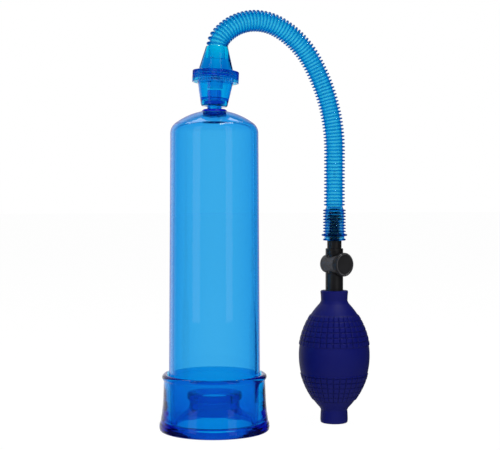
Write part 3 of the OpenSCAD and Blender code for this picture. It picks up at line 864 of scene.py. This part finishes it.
def dress_frame():
    """Gives the CAD nodes that stay their finishes."""
    # The seals inside the coupling take the blue with painted light.
    finishes = {
        "coupling_oring": SEAL_BLUE_PAINTED_LIGHT, "nose_gasket": SEAL_BLUE_PAINTED_LIGHT, "release_plunger": BLACK,
        "plunger_seal": RUBBER, "inlet_valve_cage": BLACK, "inlet_valve_disc": RUBBER,
        "outlet_valve_housing": BLACK, "outlet_valve_disc": RUBBER, "outlet_valve_cap": BLACK}
    for node, material in finishes.items():
        for mesh_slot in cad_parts[node].material_slots:
            mesh_slot.material = material


# ---------- studio ----------

def make_floor():
    """Plain pale floor that meets the white backdrop without a line. Reflections see it as they see
    the room, pale behind the object and dark in front."""
    n = Nodes("pale_floor")
    drift = n.noise(0.004, 2.0)
    colour = n.ramp(drift.outputs["Fac"], [(0.3, (0.93, 0.93, 0.94)), (0.7, (0.96, 0.96, 0.96))])
    paint = n.add("BsdfDiffuse", Color=colour)
    here = n.add("NewGeometry")
    split = n.add("SeparateXYZ", Vector=here.outputs["Incoming"])
    room = n.add("MapRange", Value=split.outputs["Y"])
    room.interpolation_type = "SMOOTHSTEP"
    room.inputs["From Min"].default_value = -ROOM_DARK
    room.inputs["From Max"].default_value = -ROOM_WHITE
    room.inputs["To Min"].default_value = ROOM_DIM
    room.inputs["To Max"].default_value = 1.0
    path = n.add("LightPath")
    mirrored = n.add("Math")
    mirrored.operation = "SUBTRACT"
    mirrored.use_clamp = True
    n.link(path.outputs["Is Glossy Ray"], mirrored.inputs[0])
    n.link(path.outputs["Is Transmission Ray"], mirrored.inputs[1])
    white_as_seen = 1.015
    bright = n.add("Mix", Factor=mirrored.outputs[0])
    bright.inputs["A"].default_value = white_as_seen
    n.link(room.outputs["Result"], bright.inputs["B"])
    glow = n.add("Emission", Color=(1, 1, 1, 1), Strength=bright.outputs["Result"])
    mixed = n.add("MixShader", Fac=0.97)
    n.link(paint.outputs[0], mixed.inputs[1])
    n.link(glow.outputs[0], mixed.inputs[2])
    n.link(mixed.outputs[0], n.output.inputs["Surface"])
    half, z = 12000, -0.2
    points = [(-half, -half, z), (half, -half, z), (half, half, z), (-half, half, z)]
    floor = new_object("studio_floor", points, [(0, 1, 2, 3)], n.material)


def make_world():
    """White backdrop behind the object, fading to a dark room on the camera's side."""
    world = bpy.data.worlds.new("studio")
    bpy.context.scene.world = world
    world.use_nodes = True
    tree = world.node_tree
    tree.nodes.clear()
    output = tree.nodes.new("ShaderNodeOutputWorld")
    path = tree.nodes.new("ShaderNodeLightPath")
    place = tree.nodes.new("ShaderNodeTexCoord")
    split = tree.nodes.new("ShaderNodeSeparateXYZ")
    tree.links.new(place.outputs["Generated"], split.inputs[0])
    room = tree.nodes.new("ShaderNodeMapRange")
    room.interpolation_type = "SMOOTHSTEP"
    tree.links.new(split.outputs["Y"], room.inputs["Value"])
    room.inputs["From Min"].default_value = ROOM_DARK
    room.inputs["From Max"].default_value = ROOM_WHITE
    room.inputs["To Min"].default_value = ROOM_DIM
    room.inputs["To Max"].default_value = 1.0
    white = tree.nodes.new("ShaderNodeBackground")
    dim = tree.nodes.new("ShaderNodeBackground")
    tree.links.new(room.outputs["Result"], dim.inputs["Strength"])
    unseen = tree.nodes.new("ShaderNodeMath")
    unseen.operation = "MAXIMUM"
    tree.links.new(path.outputs["Is Camera Ray"], unseen.inputs[0])
    tree.links.new(path.outputs["Is Transmission Ray"], unseen.inputs[1])
    mixed = tree.nodes.new("ShaderNodeMixShader")
    tree.links.new(unseen.outputs[0], mixed.inputs["Fac"])
    tree.links.new(dim.outputs[0], mixed.inputs[1])
    tree.links.new(white.outputs[0], mixed.inputs[2])
    tree.links.new(mixed.outputs[0], output.inputs["Surface"])
    for background in (white, dim):
        background.inputs["Color"].default_value = (1, 1, 1, 1)


def soft_box(name, place, aim, size, power, mirrored=True):
    """A rectangular area light turned towards a point. mirrored shows it in reflections."""
    data = bpy.data.lights.new(name, "AREA")
    data.shape = "RECTANGLE"
    data.size, data.size_y = size
    data.energy = power
    light = bpy.data.objects.new(name, data)
    light.location = place
    light.rotation_euler = (Vector(aim) - Vector(place)).to_track_quat("-Z", "Y").to_euler()
    light.visible_glossy = mirrored
    light.visible_transmission = False
    bpy.context.scene.collection.objects.link(light)


def make_camera():
    """Level with the cylinder's middle, looking from its left. aside keeps the part off centre."""
    heading = math.radians(17)
    aside = math.radians(1.76)
    pitch = math.radians(-1.31)
    distance, height = 0.825, 0.165
    data = bpy.data.cameras.new("camera")
    data.lens = 83.33
    data.sensor_width = 36
    data.clip_start = 0.01
    camera = bpy.data.objects.new("camera", data)
    camera.location = (-distance * math.sin(heading - aside),
                       -distance * math.cos(heading - aside), height)
    camera.rotation_euler = (math.radians(90) + pitch, 0, -heading)
    bpy.context.scene.collection.objects.link(camera)
    bpy.context.scene.camera = camera


def make_studio():
    make_floor()
    make_world()
    soft_box("strip_left", (-0.74, -0.4, 0.2), (0.02, 0, 0.12), (0.3, 1.5), 0.9)
    soft_box("strip_right", (0.32, -0.79, 0.2), (0.05, 0, 0.12), (0.26, 1.5), 0.8)
    soft_box("front_fill", (-0.3, -1.2, 0.7), (0.05, 0, 0.12), (1.2, 1.0), 15, mirrored=False)
    soft_box("top_back", (0.05, 0.6, 1.45), (0.02, 0, 0.2), (1.8, 0.5), 7)
    soft_box("top_bar", (0.3, -0.25, 1.2), (0.05, 0, 0.1), (0.7, 0.08), 5)
    scene = bpy.context.scene
    scene.view_settings.view_transform = "Standard"
    scene.cycles.max_bounces = 40
    scene.cycles.transmission_bounces = 36
    scene.cycles.glossy_bounces = 12
    scene.cycles.transparent_max_bounces = 40


make_sleeve()
make_cylinder()
make_nozzle()
make_socket()
make_collar()
make_cone()
make_hose()
make_cuff()
make_upright()
make_barrel()
make_button()
make_spring()
make_bulb()
dress_frame()
make_studio()
make_camera()
